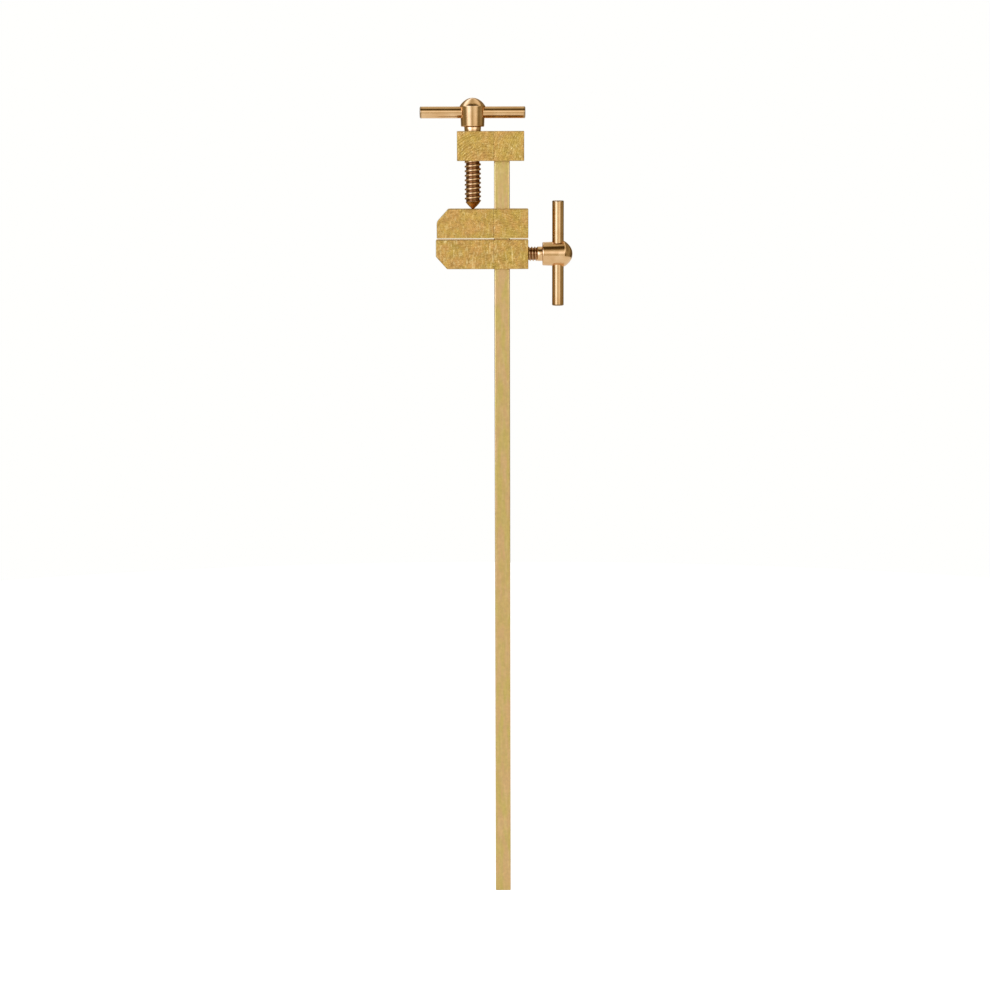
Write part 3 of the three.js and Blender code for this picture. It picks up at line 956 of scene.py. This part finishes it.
for piece in (
    # shape, name, body, CAD node, slot, finish
    (square_bar(), "drawn_bar", "frame", "bar", "drawn_brass", drawn),
    (head_screw_half(), "head_screw_half", "frame", "head_block_screw_half", "milled_brass",
     screw_half_finish),
    (head_bar_half(), "head_bar_half", "frame", "head_block_bar_half", "milled_brass", bar_half_finish),
    (upper_nose(), "upper_nose", "upper_jaw", "upper_jaw_nose", "milled_brass", upper_finish),
    (upper_heel(), "upper_heel", "upper_jaw", "upper_jaw_heel", "milled_brass", upper_finish),
    (lower_nose(), "lower_nose", "lower_jaw", "lower_jaw_nose", "milled_brass", lower_finish),
    (lower_heel(), "lower_heel", "lower_jaw", "lower_jaw_heel", "milled_brass", lower_finish),
    (clamp_spindle(), "pointed_spindle", "clamp_screw", "clamp_spindle", "turned_brass", threaded),
    (clamp_cap, "clamp_domed_cap", "clamp_screw", "clamp_cap", "turned_brass", turned_up),
    (clamp_rod, "clamp_rod", "clamp_screw", "clamp_tommy_bar", "turned_brass", turned_level),
    (shoe(), "bar_shoe", "lock_shoe", "lock_shoe", "drawn_brass", drawn),
    (lock_spindle(), "side_spindle", "lock_screw", "lock_spindle", "turned_brass", threaded),
    (lock_cap, "lock_domed_cap", "lock_screw", "lock_cap", "turned_brass", turned_level),
    (lock_rod, "lock_rod", "lock_screw", "lock_tommy_bar", "turned_brass", turned_up),
):
    finish_piece(*piece)

# ---------------------------------------------------------------- studio and camera
FLOOR_DROP = 0.12  # the clamp is shown held up, clear of the floor
FLOOR_RADIUS = 1.6
FLOOR_LIGHT = 0.62  # what the floor throws on the clamp
FLOOR_GLOW = 0.93  # and how bright the lens sees it
CAMERA_RANGE = 1.155
CAMERA_DIP = 8.8  # degrees
CAMERA_SIDE = -0.0039
CAMERA_ROLL = -0.145  # degrees
LENS = 81.6


def floor():
    """Round pale floor. Beyond it the studio goes on below the horizon, just as pale."""
    angle = np.linspace(0, 2 * math.pi, ROUND_STEPS, endpoint=False)
    drop = np.full(ROUND_STEPS, cad_box[0][2] - FLOOR_DROP)
    points = np.stack([FLOOR_RADIUS * np.cos(angle), FLOOR_RADIUS * np.sin(angle), drop], axis=-1)
    mesh = bpy.data.meshes.new("floor")
    mesh.from_pydata(points.tolist(), [], [list(range(ROUND_STEPS))])
    material = bpy.data.materials.new("pale floor")
    material.use_nodes = True
    shader = material.node_tree.nodes["Principled BSDF"]
    shader.inputs["Base Color"].default_value = (0.35, 0.35, 0.35, 1)
    shader.inputs["Roughness"].default_value = 0.9
    shader.inputs["Emission Color"].default_value = BACKDROP
    seen = node(material.node_tree, "ShaderNodeLightPath").outputs["Is Camera Ray"]
    glow = spread(material.node_tree, seen, 0.0, 1.0, FLOOR_LIGHT, FLOOR_GLOW)
    material.node_tree.links.new(glow, shader.inputs["Emission Strength"])
    mesh.materials.append(material)
    plane = bpy.data.objects.new("floor", mesh)
    bpy.context.scene.collection.objects.link(plane)


# Studio panels by bearing in degrees: 0 is the camera's side, below 0 is on the left
PLAIN = (1.0, 1.0, 1.0)
COOL = (0.97, 1.03, 1.08)
BY_BEARING = [
    (-180, 0.90, PLAIN), (-155, 0.80, PLAIN), (-145, 0.12, PLAIN), (-127, 0.14, PLAIN),
    (-110, 0.28, PLAIN), (-92, 0.34, PLAIN), (-80, 0.22, PLAIN), (-70, 0.26, PLAIN),
    (-62, 0.42, COOL), (-55, 0.80, COOL), (-48, 1.30, COOL), (-38, 1.70, COOL), (-24, 1.60, COOL),
    (-15, 1.00, COOL), (-6, 0.62, PLAIN), (2, 0.62, PLAIN), (12, 0.88, PLAIN), (26, 1.02, PLAIN),
    (38, 0.95, PLAIN), (47, 0.54, PLAIN), (55, 0.23, PLAIN), (68, 0.25, PLAIN), (80, 0.33, PLAIN),
    (92, 0.40, PLAIN), (106, 0.26, PLAIN), (118, 0.10, PLAIN), (145, 0.10, PLAIN),
    (155, 0.80, PLAIN), (180, 0.90, PLAIN),
]
# and by height in degrees above the horizon, as a share of those
BY_HEIGHT = [
    (-90, 1.00), (-2, 1.00), (3, 1.30), (8, 1.95), (17, 1.85), (26, 1.50), (33, 1.00), (41, 0.45),
    (49, 0.16), (60, 0.09), (70, 0.12), (77, 0.40), (84, 1.40), (90, 1.70),
]
PANEL_PEAK = 2.0  # ramps only hold values up to 1
OVERHEAD = 1.3  # how far the front panels reach back over the top
GREEN_CONTRAST = 1.13
BLUE_CONTRAST = 1.55
BACKDROP = (1.0, 1.0, 0.985, 1)


def studio():
    """Soft studio as a sky of bright and dark panels: a ramp by bearing times, on the camera's
    side, a ramp by height. Overhead the front panels reach back: the bearing is that of
    (x, overhead x height - y). Bright panels lean to blue and dark ones to red. The lens itself
    sees plain pale."""
    world = bpy.data.worlds.new("studio")
    bpy.context.scene.world = world
    world.use_nodes = True
    tree = world.node_tree
    tree.nodes.clear()
    aim = node(tree, "ShaderNodeTexCoord").outputs["Generated"]
    x, y, z = node(tree, "ShaderNodeSeparateXYZ", {0: aim}).outputs
    front = math_node(tree, "MULTIPLY", y, -1.0)
    above = math_node(tree, "MULTIPLY", math_node(tree, "MAXIMUM", z, 0.0), OVERHEAD)
    bearing = math_node(tree, "ARCTAN2", x, math_node(tree, "ADD", front, above))
    turn = math_node(tree, "ADD", math_node(tree, "DIVIDE", bearing, 2 * math.pi), 0.5)
    rise = math_node(tree, "ADD", math_node(tree, "DIVIDE", math_node(tree, "ARCSINE", z), math.pi), 0.5)
    side = ramp(tree, turn, [(0.5 + angle / 360, tuple(value * part / PANEL_PEAK for part in tint))
                             for angle, value, tint in BY_BEARING])
    height = ramp(tree, rise, [(0.5 + angle / 180, value / PANEL_PEAK) for angle, value in BY_HEIGHT])
    on_front = math_node(tree, "MULTIPLY", front, 4.0, clamp=True)
    height = mix(tree, on_front, (1 / PANEL_PEAK,) * 3, height)
    light = node(tree, "ShaderNodeVectorMath", {0: side, 1: height}, operation="MULTIPLY").outputs[0]
    light = node(tree, "ShaderNodeVectorMath", {0: light, "Scale": PANEL_PEAK ** 2}, operation="SCALE")
    red, green, blue = node(tree, "ShaderNodeSeparateXYZ", {0: light.outputs[0]}).outputs
    colour = node(tree, "ShaderNodeCombineColor", {
        0: red, 1: math_node(tree, "POWER", green, GREEN_CONTRAST),
        2: math_node(tree, "POWER", blue, BLUE_CONTRAST)}).outputs[0]
    seen = node(tree, "ShaderNodeLightPath").outputs["Is Camera Ray"]
    panels = node(tree, "ShaderNodeBackground", {"Color": colour, "Strength": 1.0})
    backdrop = node(tree, "ShaderNodeBackground", {"Color": BACKDROP, "Strength": 1.0})
    both = node(tree, "ShaderNodeMixShader", {0: seen, 1: panels.outputs[0], 2: backdrop.outputs[0]})
    node(tree, "ShaderNodeOutputWorld", {"Surface": both.outputs[0]})


def camera():
    """Lens level with the head block, looking a little down at the middle of the bar."""
    data = bpy.data.cameras.new("camera")
    data.lens = LENS
    data.sensor_width = 36.0
    data.clip_end = 200.0
    lens = bpy.data.objects.new("camera", data)
    lens.location = (CAMERA_SIDE, -CAMERA_RANGE, (head_low[2] + head_high[2]) / 2 - 0.0008)
    lens.rotation_euler = (math.radians(90 - CAMERA_DIP), 0, 0)
    lens.rotation_euler.rotate_axis("Z", math.radians(CAMERA_ROLL))
    bpy.context.scene.collection.objects.link(lens)
    bpy.context.scene.camera = lens


floor()
studio()
camera()
bpy.context.scene.view_settings.view_transform = "Standard"
